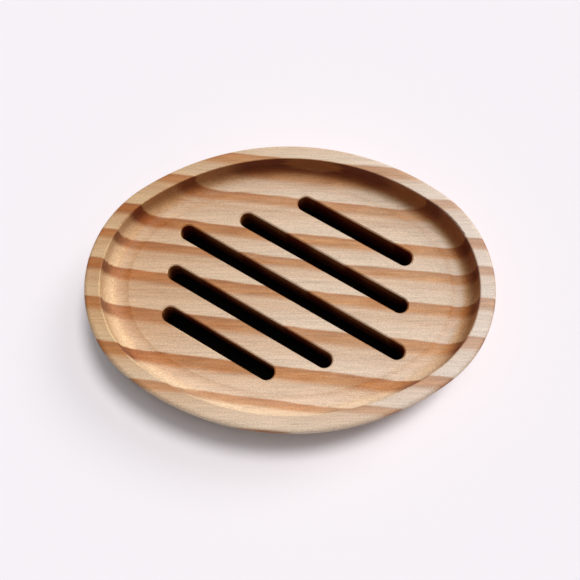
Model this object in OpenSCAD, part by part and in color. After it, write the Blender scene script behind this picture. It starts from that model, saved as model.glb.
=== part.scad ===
// Oval pine soap dish with draining slots, milled from one board and set on four rubber feet.
// Millimetres. X runs along the dish, Y across it, and Z = 0 is the surface that it stands on.

/* [Board] */
// Length of the dish
dish_l = 130; // [120:1:150]
// Width of the dish
dish_w = 95; // [90:1:105]
// Thickness of the board
board_t = 18; // [16:0.5:24]
// Rounding of the rim's outer edge
edge_r = 1.5; // [0.5:0.1:3]
// Rounding of the side, from under the rim down to the base
base_r = 16; // [8:0.5:18]

/* [Recess] */
// Width of the rim, from the outline to the recess
rim_w = 5.2; // [4:0.1:8]
// Depth of the recess that holds the soap
recess_depth = 8; // [6:0.5:11]
// Radius of the cove at the foot of the recess's wall
cove_r = 5; // [3:0.5:9]
// How much deeper than the floor the cove runs, as a gutter all round
gutter_depth = 0.5; // [0.2:0.1:1]
// Rounding of the rim's inner edge
lip_r = 0.5; // [0.2:0.1:1]

/* [Slots] */
// Width of a slot
slot_w = 5.4; // [4:0.1:7]
// Angle of the slots, clockwise from the dish's length
slot_angle = 30; // [20:1:40]
// Bevel that takes the sharpness off a slot's edges, above and below
slot_bevel = 0.4; // [0.2:0.1:1]

/* [Feet] */
// Diameter of a foot where it meets the board
foot_d = 8; // [6:0.5:9]
// Height of the board above the surface
foot_h = 2; // [1.5:0.1:4]
// Depth of the pocket that a foot is glued into
pocket_depth = 1; // [0.5:0.1:2]
// Gap between a foot's side and its pocket
pocket_gap = 0.15; // [0.05:0.05:0.4]
// How much a foot narrows on each side towards the surface
foot_taper = 0.5; // [0:0.1:1]
// Rounding of a foot's lower edge
foot_edge_r = 0.6; // [0.2:0.1:1]

/* [Hidden] */
$fa = 3;
$fs = 0.4;

// Outline: a four-centre oval, set out with 3-4-5 triangles. The lines on which its end arcs
// run into its side arcs lean 3 along the dish for every 4 across it.
lean = 3 / 4;
half_l = dish_l / 2;
half_w = dish_w / 2;
side_y = 2 * (half_l - half_w);
end_x = lean * side_y;
side_r = half_w + side_y;
end_r = half_l - end_x;

// The sections turned round the sides start here, just past the dish's middle line
side_start = side_y - rim_w;

// Heights above the surface
board_z = foot_h;
rim_z = board_z + board_t;
floor_z = rim_z - recess_depth;

// Each rounding stops short of the one above it
side_round = min(base_r, board_t - edge_r);
cove_round = min(cove_r, recess_depth + gutter_depth - lip_r);

// The gutter is cut by the same round as the cove, which comes up to the floor again this far
// inside its lowest line
gutter_reach = sqrt(gutter_depth * (2 * cove_round - gutter_depth));

// Flat part of the recess's floor: how far it lies inside the outline, half its length and
// half its width
floor_inset = rim_w + cove_round + gutter_reach;
floor_x = half_l - floor_inset;
floor_y = half_w - floor_inset;

// The slots and the feet are set out along and across the slots. Each slot from back to
// front: its distance from the middle, across the slots, as a share of floor_y, then its two
// ends, along the slots, as shares of floor_x.
slot_shares = [
    [0.80, -0.20, 0.52],
    [0.37, -0.46, 0.64],
    [-0.03, -0.74, 0.76],
    [-0.43, -0.66, 0.41],
    [-0.79, -0.54, 0.15]
];

// Each foot's place, where the slots leave the board whole: along the slots as a share of
// floor_x, and across them as a share of floor_y
foot_right_shares = [0.68, 0.64];
foot_front_shares = [0.54, -0.28];
foot_left_shares = [-0.68, -0.67];
foot_back_shares = [-0.59, 0.22];

// How far a cut runs past the face that it opens
overrun = 1;

// Turns a section round an arc's centre, and keeps the part above a flat wedge
module sector(wedge) {
    intersection() {
        rotate_extrude()
            children();
        translate([0, 0, -overrun])
            linear_extrude(board_t + 2 * overrun)
                polygon(wedge);
    }
}

// Turns a section once round the oval. The first child goes round the ends, the second
// round the sides.
module round_the_oval() {
    far_x = end_r + overrun;
    far_y = side_r + overrun;
    end_wedge = [
        [0, 0], [lean * far_x, -far_x], [far_x, -far_x],
        [far_x, far_x], [lean * far_x, far_x]
    ];
    side_wedge = [[0, 0], [lean * far_y, far_y], [-lean * far_y, far_y]];
    for (turn = [0, 180])
        rotate(turn) {
            translate([end_x, 0, 0])
                sector(end_wedge)
                    children(0);
            translate([0, -side_y, 0])
                sector(side_wedge)
                    children(1);
        }
}

// The milled board before its slots. A disc inside the floor at each end ties the sectors
// together where they meet.
module board() {
    disc_r = end_r - floor_inset - slot_bevel;
    round_the_oval() {
        dish_section(0, end_r);
        dish_section(side_start, side_r);
    }
    for (turn = [0, 180])
        rotate(turn)
            translate([end_x, 0, 0])
                cylinder(r = disc_r, h = board_t - recess_depth);
}

// What a rounding takes off a corner that has its wood to the left of it and above it
module corner_waste(radius) {
    difference() {
        translate([-radius, -overrun])
            square(radius + overrun);
        translate([-radius, radius])
            circle(radius);
    }
}

// Section of the board, from x = start out to the outline at x = r, with both edges rounded
module board_section(start, r) {
    difference() {
        translate([start, 0])
            square([r - start, board_t]);
        translate([r, 0])
            corner_waste(side_round);
        translate([r, board_t])
            mirror([0, 1])
                corner_waste(edge_r);
    }
}

// Section of what the recess takes away: the flat floor, the deeper round cut that leaves the
// wall, its cove and the gutter, and the rounding of the rim's inner edge
module recess_section(start, r) {
    wall_x = r - rim_w;
    cove_x = wall_x - cove_round;
    translate([start - overrun, 0])
        square([cove_x - start + overrun, recess_depth + overrun]);
    translate([cove_x, cove_round - gutter_depth]) {
        circle(cove_round);
        square([cove_round, recess_depth + gutter_depth - cove_round + overrun]);
    }
    translate([wall_x, recess_depth])
        rotate(180)
            corner_waste(lip_r);
}

// Section of the dish: floor, gutter, cove, rim and rounded side
module dish_section(start, r) {
    difference() {
        board_section(start, r);
        translate([0, board_t - recess_depth])
            recess_section(start, r);
    }
}

// Half section of a slot through the floor, from its middle out, bevelled above and below
module slot_section() {
    floor_t = floor_z - board_z;
    slot_r = slot_w / 2;
    flare_r = slot_r + slot_bevel + overrun;
    polygon([
        [0, -overrun], [flare_r, -overrun], [slot_r, slot_bevel],
        [slot_r, floor_t - slot_bevel], [flare_r, floor_t + overrun], [0, floor_t + overrun]
    ]);
}

// One slot along X, with round ends about the points start and stop
module slot(start, stop) {
    translate([start, 0, 0])
        rotate(90)
            rotate_extrude(angle = 180)
                slot_section();
    translate([stop, 0, 0])
        rotate(-90)
            rotate_extrude(angle = 180)
                slot_section();
    for (side = [0, 1])
        mirror([0, side, 0])
            translate([start, 0, 0])
                rotate([90, 0, 90])
                    linear_extrude(stop - start)
                        slot_section();
}

// The five parallel slots that let the water out
module slots() {
    rotate(-slot_angle)
        for (share = slot_shares)
            translate([0, share[0] * floor_y, board_z])
                slot(share[1] * floor_x, share[2] * floor_x);
}

// Puts its children at a foot's place
module at_foot(shares) {
    rotate(-slot_angle)
        translate([shares[0] * floor_x, shares[1] * floor_y, 0])
            children();
}

// The four shallow pockets that the feet are glued into
module pockets() {
    for (shares = [foot_right_shares, foot_front_shares, foot_left_shares, foot_back_shares])
        at_foot(shares)
            translate([0, 0, board_z - overrun])
                cylinder(d = foot_d + 2 * pocket_gap, h = pocket_depth + overrun);
}

// The dish itself: one piece of pine, milled to shape
module dish() {
    color("burlywood")
        difference() {
            translate([0, 0, board_z])
                board();
            slots();
            pockets();
        }
}

// One moulded rubber foot, standing in its pocket with its upper face against the wood
module foot(shares) {
    top_r = foot_d / 2;
    low_r = top_r - foot_taper;
    foot_top = foot_h + pocket_depth;
    color("dimgray")
        at_foot(shares)
            rotate_extrude() {
                polygon([
                    [0, foot_edge_r], [low_r, foot_edge_r],
                    [top_r, foot_h], [top_r, foot_top], [0, foot_top]
                ]);
                square([low_r - foot_edge_r, foot_edge_r]);
                intersection() {
                    translate([low_r - foot_edge_r, foot_edge_r])
                        circle(foot_edge_r);
                    square([low_r, foot_edge_r]);
                }
            }
}

dish();
foot(foot_right_shares);  // foot_right
foot(foot_front_shares);  // foot_front
foot(foot_left_shares);  // foot_left
foot(foot_back_shares);  // foot_back
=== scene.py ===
import math

import bpy
from mathutils import Matrix, Vector

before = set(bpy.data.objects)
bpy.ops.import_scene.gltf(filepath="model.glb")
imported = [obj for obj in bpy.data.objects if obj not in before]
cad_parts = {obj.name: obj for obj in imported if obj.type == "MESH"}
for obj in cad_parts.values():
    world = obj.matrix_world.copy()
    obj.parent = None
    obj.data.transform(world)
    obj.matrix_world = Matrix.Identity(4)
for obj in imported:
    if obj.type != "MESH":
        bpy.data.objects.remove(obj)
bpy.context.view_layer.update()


# The dish. One piece of pine, milled on both faces, sanded and lightly oiled. It was sawn so that
# its growth rings stand almost upright in the board and run along it, so they show as bands on
# the floor and rim, and carry on down the cove and the rounded side.

def feed(tree, socket, value):
    """Gives a socket a plain value, or links another node's output to it."""
    if isinstance(value, bpy.types.NodeSocket):
        tree.links.new(value, socket)
    else:
        socket.default_value = value


def put(tree, kind, **given):
    """Adds a shader node. A keyword names a setting of the node or one of its inputs; an input
    also goes by its number, as in0 or in1."""
    node = tree.nodes.new("ShaderNode" + kind)
    settings = [name for name in given if hasattr(node, name)]
    for name in settings:
        setattr(node, name, given.pop(name))
    for name, value in given.items():
        key = int(name[2:]) if name.startswith("in") else name.replace("_", " ")
        feed(tree, node.inputs[key], value)
    return node


def calc(tree, operation, *values):
    """One step of arithmetic on outputs and numbers."""
    numbered = {"in%d" % k: value for k, value in enumerate(values)}
    return put(tree, "Math", operation=operation, **numbered).outputs[0]


def times(tree, first, second):
    """Two values multiplied."""
    return calc(tree, "MULTIPLY", first, second)


def soft_step(tree, value, low, high):
    """0 below low and 1 above high, with a smooth change between them."""
    return put(tree, "MapRange", interpolation_type="SMOOTHSTEP", Value=value,
               From_Min=low, From_Max=high).outputs[0]


def fade_out(tree, value, low, high):
    """1 below low and 0 above high, with a smooth change between them."""
    return calc(tree, "SUBTRACT", 1.0, soft_step(tree, value, low, high))


def new_group(name, inputs, outputs):
    """A shader node group with its named inputs and outputs."""
    group = bpy.data.node_groups.new(name, "ShaderNodeTree")
    for label, kind, value in inputs:
        socket = group.interface.new_socket(
            name=label, in_out="INPUT", socket_type="NodeSocket" + kind)
        if value is not None:
            socket.default_value = value
    for label in outputs:
        group.interface.new_socket(name=label, in_out="OUTPUT", socket_type="NodeSocketFloat")
    given = group.nodes.new("NodeGroupInput").outputs
    wanted = group.nodes.new("NodeGroupOutput").inputs
    return group, given, wanted


# One year's growth: pale early wood that slowly deepens into a band of late wood, which ends
# in its darkest line and a sharp edge. Ring Place, Edge and Width are in millimetres. Fresh is
# the first wood of the next year.
ring_group, given, wanted = new_group(
    "growth ring",
    [("Ring Place", "Float", 0.0), ("Edge", "Float", 0.0),
     ("Width", "Float", 4.0), ("Strength", "Float", 1.0)],
    ["Late Wood", "Dark Line", "Fresh"],
)

# In millimetres before the edge, or past it where they are below zero
EDGE_BLUR = 0.35
LINE_FADE = (0.3, 1.6)
FRESH_FADE = (-7.0, -0.3)

# As shares of the band's width
BAND_FADE = (0.62, 1.25)
TAIL_FADE = (0.8, 2.4)
TAIL_STRENGTH = 0.12

before_edge = calc(ring_group, "SUBTRACT", given["Edge"], given["Ring Place"])
this_year = soft_step(ring_group, before_edge, -EDGE_BLUR, EDGE_BLUR)
into_band = calc(ring_group, "DIVIDE", before_edge, given["Width"])
band = fade_out(ring_group, into_band, *BAND_FADE)
tail = times(ring_group, fade_out(ring_group, into_band, *TAIL_FADE), TAIL_STRENGTH)
band = calc(ring_group, "MAXIMUM", band, tail)
dark_line = fade_out(ring_group, before_edge, *LINE_FADE)
for name, mask in (("Late Wood", band), ("Dark Line", dark_line)):
    mask = times(ring_group, mask, this_year)
    feed(ring_group, wanted[name], times(ring_group, mask, given["Strength"]))
next_year = calc(ring_group, "SUBTRACT", 1.0, this_year)
first_wood = soft_step(ring_group, before_edge, *FRESH_FADE)
feed(ring_group, wanted["Fresh"], times(ring_group, first_wood, next_year))


def noise(tree, place, scale, detail, roughness):
    """A noise between about 0 and 1, whose grains are about 1/scale across."""
    return put(tree, "TexNoise", Vector=place, Scale=scale, Detail=detail,
               Roughness=roughness).outputs[0]


# Fine marks drawn out along the grain. Place is in millimetres; Length is how many times
# longer than wide the marks are.
grain_group, given, wanted = new_group(
    "drawn grain",
    [("Place", "Vector", None), ("Fineness", "Float", 1.0),
     ("Length", "Float", 30.0), ("Detail", "Float", 3.0)],
    ["Mark"],
)
GRAIN_ROUGHNESS = 0.55
shorter = calc(grain_group, "DIVIDE", 1.0, given["Length"])
squeeze = put(grain_group, "CombineXYZ", X=shorter, Y=1.0, Z=1.0).outputs[0]
drawn = put(grain_group, "VectorMath", operation="MULTIPLY",
            in0=given["Place"], in1=squeeze).outputs[0]
mark = noise(grain_group, drawn, given["Fineness"], given["Detail"], GRAIN_ROUGHNESS)
feed(grain_group, wanted["Mark"], mark)


def drawn_grain(tree, place, fineness, length, detail):
    """Marks from the drawn grain group."""
    return put(tree, "Group", node_tree=grain_group, Place=place, Fineness=fineness,
               Length=length, Detail=detail).outputs[0]


MM = 0.001


def scaled(tree, vector, factor):
    """A vector or a colour times a factor."""
    return put(tree, "VectorMath", operation="SCALE", in0=vector, Scale=factor).outputs[0]


def place_in_mm(tree):
    """Where a point of the object lies, in millimetres."""
    return scaled(tree, put(tree, "TexCoord").outputs["Object"], 1 / MM)


def new_material(name):
    """A material, and its empty node tree."""
    material = bpy.data.materials.new(name)
    material.use_nodes = True
    material.node_tree.nodes.clear()
    return material, material.node_tree


pine, tree = new_material("oiled pine")
place = place_in_mm(tree)
along, across, height = put(tree, "SeparateXYZ", in0=place).outputs

# How high the recess's floor and the rim lie above the surface, in millimetres
FLOOR_HEIGHT = 12.0
RIM_HEIGHT = 20.0


def add(tree, start, value, factor):
    """A starting value, with another value times a factor added to it."""
    return calc(tree, "MULTIPLY_ADD", value, factor, start)


def sway(tree, start, mark, amount):
    """Moves a value up and down with a mark, which is about 0.5 on average."""
    return add(tree, start, calc(tree, "SUBTRACT", mark, 0.5), amount)


# Where a point lies among the rings, in millimetres across the board. They turn a little from
# the dish's length, lean as they rise, bend, and lean further towards the right end.
RING_TURN = 0.103
RING_LEAN = -0.067
RING_BEND = -0.000148
RING_TWIST = -0.00105
above_floor = calc(tree, "SUBTRACT", height, FLOOR_HEIGHT)
ring_place = add(tree, across, along, RING_TURN)
ring_place = add(tree, ring_place, above_floor, RING_LEAN)
ring_place = add(tree, ring_place, times(tree, along, along), RING_BEND)
ring_place = add(tree, ring_place, times(tree, along, above_floor), RING_TWIST)

# Slow and quick wavering of the rings, in millimetres
SLOW_WAVER = 1.5
QUICK_WAVER = 0.9
slow = drawn_grain(tree, place, fineness=0.07, length=3.0, detail=2.0)
quick = drawn_grain(tree, place, fineness=0.8, length=9.0, detail=3.0)
ring_place = sway(tree, ring_place, slow, SLOW_WAVER)
ring_place = sway(tree, ring_place, quick, QUICK_WAVER)

# Each ring from the back of the board to the front: where its dark edge lies, how wide its
# late wood is, in millimetres, and how strongly it shows
RINGS = [
    (56.5, 3.5, 0.8), (41.8, 4.6, 0.9), (31.8, 4.0, 0.85), (26.9, 1.6, 0.16), (19.2, 4.2, 1.0),
    (9.9, 3.6, 0.9), (5.2, 1.2, 0.12), (-0.6, 4.3, 0.95), (-6.8, 1.4, 0.12), (-13.2, 4.7, 0.9),
    (-26.6, 4.5, 1.0), (-37.3, 2.8, 0.75), (-48.0, 3.4, 0.8), (-59.0, 3.2, 0.7),
]

# A ring weaker than this is a false one, within a year, with no fresh wood after it
WEAKEST_YEAR = 0.4
late, line, fresh = 0.0, 0.0, 0.0
for edge, width, strength in RINGS:
    ring = put(tree, "Group", node_tree=ring_group, Ring_Place=ring_place,
               Edge=edge, Width=width, Strength=strength).outputs
    late = calc(tree, "MAXIMUM", late, ring["Late Wood"])
    line = calc(tree, "MAXIMUM", line, ring["Dark Line"])
    if strength > WEAKEST_YEAR:
        fresh = calc(tree, "MAXIMUM", fresh, ring["Fresh"])

# Fibres, streaks, fine speckle, short resin canals and broad patches
fibre = drawn_grain(tree, place, fineness=2.2, length=24.0, detail=4.0)
streak = drawn_grain(tree, place, fineness=0.7, length=34.0, detail=3.0)
speck = noise(tree, place, scale=2.6, detail=2.0, roughness=0.6)
canal = drawn_grain(tree, place, fineness=1.5, length=14.0, detail=1.0)
canal = soft_step(tree, canal, 0.70, 0.78)
patch = drawn_grain(tree, place, fineness=0.16, length=2.6, detail=2.0)

# Which way the wood faces. End grain looks along the board. A slot's wall stands upright and
# lies below the floor, and gets a painted shade that deepens down the slot.
facing = put(tree, "TexCoord").outputs["Normal"]
facing_along, facing_across, facing_up = put(tree, "SeparateXYZ", in0=facing).outputs
end_grain = soft_step(tree, calc(tree, "ABSOLUTE", facing_along), 0.25, 1.0)
flatness = calc(tree, "ABSOLUTE", facing_up)
steep = fade_out(tree, flatness, 0.2, 0.95)
upright = fade_out(tree, flatness, 0.05, 0.3)
SLOT_TOP = (FLOOR_HEIGHT - 0.4, FLOOR_HEIGHT + 0.2)
SLOT_DEPTH = (5.0, FLOOR_HEIGHT)
slot_shade = times(tree, upright, fade_out(tree, height, *SLOT_TOP))
deep_slot_shade = times(tree, slot_shade, fade_out(tree, height, *SLOT_DEPTH))

# A painted shade towards the board's left end, where less sheen falls from the lamps, less so at
# the front. The places are in millimetres from the middle.
LEFT_END = (-60.0, 15.0)
FRONT = (-42.0, -12.0)
FRONT_SHARE = 0.4
behind_front = soft_step(tree, across, *FRONT)
left_end_shade = times(tree, fade_out(tree, along, *LEFT_END),
                 add(tree, FRONT_SHARE, behind_front, 1.0 - FRONT_SHARE))


def paint(red, green, blue):
    """A colour as a screen shows it, 0 to 255, made linear for the shader."""
    linear = []
    for level in (red, green, blue):
        level /= 255
        linear.append(level / 12.92 if level <= 0.04045 else ((level + 0.055) / 1.055) ** 2.4)
    return (*linear, 1.0)


def blend(tree, share, first, second, how="MIX"):
    """Two colours mixed, with this share of the second."""
    return put(tree, "Mix", data_type="RGBA", blend_type=how,
               in0=share, in6=first, in7=second).outputs[2]


def stain(tree, colour, mask, dye, amount=1.0):
    """Multiplies a dye into a colour where the mask shows, by this amount at most."""
    share = mask if amount == 1.0 else times(tree, mask, amount)
    return blend(tree, share, colour, dye, "MULTIPLY")


def cover(tree, colour, mask, coat, amount):
    """Lays a coat over a colour where the mask shows, by this amount at most."""
    return blend(tree, times(tree, mask, amount), colour, coat)


# The wood's own colours. Late wood is patchy and streaked, and deepest on steep faces.
EARLY_WOOD = paint(212, 180, 153)
FRESH_WOOD = paint(220, 193, 169)
LATE_WOOD = paint(195, 140, 94)
LATE_PATCHES = paint(183, 123, 75)
STEEP_LATE_WOOD = paint(126, 58, 24)
early = blend(tree, fresh, EARLY_WOOD, FRESH_WOOD)
late_colour = blend(tree, soft_step(tree, patch, 0.38, 0.66), LATE_WOOD, LATE_PATCHES)
# Painted shade: late wood is deeper towards the left end, where less sheen falls from the lamps
late_colour = stain(tree, late_colour, left_end_shade, dye=paint(218, 186, 146), amount=0.5)
late_colour = cover(tree, late_colour, steep, coat=STEEP_LATE_WOOD, amount=0.85)
late_share = times(tree, late, add(tree, 0.75, streak, factor=0.5))
colour = blend(tree, late_share, early, late_colour)
colour = cover(tree, colour, line, coat=paint(156, 98, 64), amount=0.35)
colour = cover(tree, colour, canal, coat=paint(150, 96, 60), amount=0.30)
colour = stain(tree, colour, end_grain, dye=paint(215, 175, 130), amount=0.30)


def stands_at(tree, right, back):
    """How squarely a face looks away from the dish's side that lies in this direction."""
    return add(tree, times(tree, facing_along, -right), facing_across, -back)


# The recess's wall looks in towards the dish's middle, and is deeper in colour than the floor.
# A painted shade darkens it at the back and right, which face away from the lamps, and a painted
# highlight makes its early wood palest at the front left, which faces them. The slots' walls get
# a darker painted shade still. Outward is how far out a face lies, in millimetres, and below zero
# where it looks in.
WALL_FADE = (-38.0, -8.0)
outward = add(tree, times(tree, facing_along, along), facing_across, across)
wall = fade_out(tree, outward, *WALL_FADE)
back_right = stands_at(tree, right=0.72, back=0.69)
mostly_back = stands_at(tree, right=0.60, back=0.80)
wall_shade = times(tree, wall, soft_step(tree, mostly_back, 0.25, 0.8))
wall_highlight = times(tree, wall, fade_out(tree, back_right, -0.5, 0.25))
wall_highlight = times(tree, wall_highlight, add(tree, 1.0, late, factor=-0.9))
colour = stain(tree, colour, wall, dye=paint(252, 228, 196))
colour = stain(tree, colour, wall_shade, dye=paint(188, 146, 112))
colour = cover(tree, colour, wall_highlight, coat=paint(252, 228, 198), amount=0.9)
colour = stain(tree, colour, slot_shade, dye=paint(226, 176, 128))
colour = stain(tree, colour, deep_slot_shade, dye=paint(116, 84, 58))

# A painted shade makes the left end deeper in colour and the rim yellower there, where less sheen
# falls from the lamps, and a painted sheen makes the rim paler towards the right end.
colour = stain(tree, colour, left_end_shade, dye=paint(238, 225, 207))
RIM_FADE = (RIM_HEIGHT - 1.0, RIM_HEIGHT)
RIGHT_END = (5.0, 60.0)
rim = soft_step(tree, height, *RIM_FADE)
colour = stain(tree, colour, times(tree, rim, left_end_shade), dye=paint(253, 250, 238))
rim_sheen = times(tree, rim, soft_step(tree, along, *RIGHT_END))
rim_sheen = times(tree, rim_sheen, add(tree, 1.0, late, factor=-0.5))
colour = cover(tree, colour, rim_sheen, coat=paint(234, 226, 222), amount=0.35)

# Fibres, streaks and specks make the wood lighter and darker, and late wood is uneven
tone = sway(tree, 1.0, fibre, amount=0.65)
tone = sway(tree, tone, streak, amount=0.30)
tone = sway(tree, tone, speck, amount=1.00)
uneven = times(tree, calc(tree, "SUBTRACT", quick, 0.5), late)
tone = add(tree, tone, uneven, factor=0.7)
colour = scaled(tree, colour, tone)

# Late wood is harder and stands a little proud of the sanded early wood. The relief is in
# millimetres.
PINE_RELIEF = 0.06
PINE_ROUGHNESS = 0.42
rise = add(tree, times(tree, fibre, 0.5), late, factor=0.55)
rise = add(tree, rise, canal, factor=-0.5)
rise = add(tree, rise, speck, factor=0.2)
bump = put(tree, "Bump", Strength=0.5, Distance=PINE_RELIEF * MM, Height=rise).outputs[0]
rough = add(tree, PINE_ROUGHNESS, fibre, factor=0.16)
rough = add(tree, rough, late, factor=0.04)
wood = put(tree, "BsdfPrincipled", Base_Color=colour, Roughness=rough, Normal=bump, IOR=1.4,
           Specular_IOR_Level=0.3)
put(tree, "OutputMaterial", Surface=wood.outputs[0])

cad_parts["dish"].data.materials.clear()
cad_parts["dish"].data.materials.append(pine)


# The four feet. Moulded rubber buttons, matt and nearly black, each glued into a round pocket
# in the underside of the dish. Their pebbled relief is in millimetres.
RUBBER_RELIEF = 0.03
RUBBER_ROUGHNESS = 0.62
rubber, tree = new_material("moulded rubber")
place = place_in_mm(tree)
pebble = noise(tree, place, scale=6.0, detail=3.0, roughness=0.6)
bloom = noise(tree, place, scale=0.7, detail=3.0, roughness=0.55)
colour = blend(tree, soft_step(tree, bloom, 0.35, 0.7), paint(36, 36, 38), paint(58, 57, 56))
rough = add(tree, RUBBER_ROUGHNESS, pebble, factor=0.2)
bump = put(tree, "Bump", Strength=0.5, Distance=RUBBER_RELIEF * MM, Height=pebble).outputs[0]
skin = put(tree, "BsdfPrincipled", Base_Color=colour, Roughness=rough, Normal=bump)
put(tree, "OutputMaterial", Surface=skin.outputs[0])
for name in ("foot_right", "foot_front", "foot_left", "foot_back"):
    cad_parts[name].data.materials.clear()
    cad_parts[name].data.materials.append(rubber)


# The floor that the dish stands on. It belongs to the stage, and is plain, pale and matt, like
# a sheet of paper. It reaches 3 metres each way, far beyond what the camera sees.

def plain_sheet(name, corners, finish, colour, roughness):
    """A flat sheet with these corners, in metres, in one matt colour."""
    material, tree = new_material(finish)
    matt = put(tree, "BsdfPrincipled", Base_Color=colour, Roughness=roughness,
               Specular_IOR_Level=0.0)
    put(tree, "OutputMaterial", Surface=matt.outputs[0])
    mesh = bpy.data.meshes.new(name)
    mesh.from_pydata(corners, [], [tuple(range(len(corners)))])
    mesh.materials.append(material)
    sheet = bpy.data.objects.new(name, mesh)
    bpy.context.scene.collection.objects.link(sheet)
    return sheet


FLOOR_REACH = 3.0
floor_corners = [(x * FLOOR_REACH, y * FLOOR_REACH, 0.0)
                 for x, y in ((-1, -1), (1, -1), (1, 1), (-1, 1))]
floor = plain_sheet("floor", floor_corners, "pale paper", paint(250, 242, 246), roughness=0.9)


# A dark sheet of painted shade lies on the floor under the dish, cut just larger than the pattern
# of its slots, so that the slots look down on something almost black, as into deep shade. Its
# height and corners are in millimetres.
SHADE_SHEET_HEIGHT = 0.04
SHADE_SHEET_CORNERS = [
    (41, 13), (35, 22), (7, 34), (-16, 29), (-37, 23), (-43, 5),
    (-43, -12), (-35, -20), (-8, -33), (14, -29), (37, -25), (41, -8),
]
shade_sheet_corners = [(x * MM, y * MM, SHADE_SHEET_HEIGHT * MM) for x, y in SHADE_SHEET_CORNERS]
card = plain_sheet("dark_card", shade_sheet_corners, "dark card", paint(16, 13, 12), roughness=0.95)


# The light: soft lamps behind and to the right of the dish, one of them lower and one almost
# overhead, and a weak, even and slightly cool light from the room. What the camera, reflections
# and clear materials see of the room is white.

# For each lamp: the side that it stands on, its height above the horizon and its width, in
# degrees, and its share of the light on the floor. With the room's share they add up to 1.
LAMPS = [
    ("key lamp", 44, 68, 17, 0.48),
    ("low lamp", 40, 39, 26, 0.16),
    ("top lamp", 50, 81, 36, 0.24),
]
ROOM_SHARE = 0.12
ROOM_COLOUR = (0.75, 1.0, 1.03, 1)
for name, azimuth, elevation, width, share in LAMPS:
    azimuth = math.radians(azimuth)
    elevation = math.radians(elevation)
    lamp_data = bpy.data.lights.new(name, "SUN")
    lamp_data.angle = math.radians(width)
    lamp_data.energy = math.pi * share / math.sin(elevation)
    lamp = bpy.data.objects.new(name, lamp_data)
    towards_lamp = Vector((
        math.cos(elevation) * math.cos(azimuth),
        math.cos(elevation) * math.sin(azimuth),
        math.sin(elevation),
    ))
    lamp.rotation_euler = towards_lamp.to_track_quat("Z", "Y").to_euler()
    bpy.context.scene.collection.objects.link(lamp)

world = bpy.data.worlds.new("room")
bpy.context.scene.world = world
world.use_nodes = True
tree = world.node_tree
tree.nodes.clear()
rays = put(tree, "LightPath").outputs
seen = calc(tree, "MAXIMUM", rays["Is Camera Ray"], rays["Is Glossy Ray"])
seen = calc(tree, "MAXIMUM", seen, rays["Is Transmission Ray"])
room = put(tree, "Background", Color=ROOM_COLOUR, Strength=ROOM_SHARE).outputs[0]
white = put(tree, "Background", Color=(1, 1, 1, 1), Strength=1.0).outputs[0]
both = put(tree, "MixShader", in0=seen, in1=room, in2=white).outputs[0]
put(tree, "OutputWorld", Surface=both)


# The camera: above and in front of the dish, looking steeply down. Its place and angles were
# fitted to the outline, the recess and the slots. Lengths are in millimetres, and angles in
# radians.
CAMERA_ELEVATION = 1.27467
CAMERA_DISTANCE = 224.79
CAMERA_TARGET = (0.05, 2.58, 0.0)
CAMERA_TURN = 0.021719
CAMERA_ROLL = 0.006504
SENSOR_WIDTH = 36.0
NEAREST_VIEW = 10.0

# Focal length as a share of the frame's width
FOCAL_SHARE = 651.18 / 580

camera_data = bpy.data.cameras.new("camera")
camera_data.sensor_fit = "HORIZONTAL"
camera_data.sensor_width = SENSOR_WIDTH
camera_data.lens = FOCAL_SHARE * SENSOR_WIDTH
camera_data.clip_start = NEAREST_VIEW * MM
camera = bpy.data.objects.new("camera", camera_data)
forward = Vector((0, math.cos(CAMERA_ELEVATION), -math.sin(CAMERA_ELEVATION)))
right = Vector((1, 0, 0))
up = right.cross(forward)
spot = (Vector(CAMERA_TARGET) - forward * CAMERA_DISTANCE) * MM
side = math.cos(CAMERA_ROLL) * right - math.sin(CAMERA_ROLL) * up
top = math.sin(CAMERA_ROLL) * right + math.cos(CAMERA_ROLL) * up
axes = Matrix((side, top, -forward)).transposed().to_4x4()
camera.matrix_world = Matrix.Rotation(CAMERA_TURN, 4, "Z") @ Matrix.Translation(spot) @ axes
bpy.context.scene.collection.objects.link(camera)
bpy.context.scene.camera = camera

bpy.context.scene.view_settings.view_transform = "Standard"
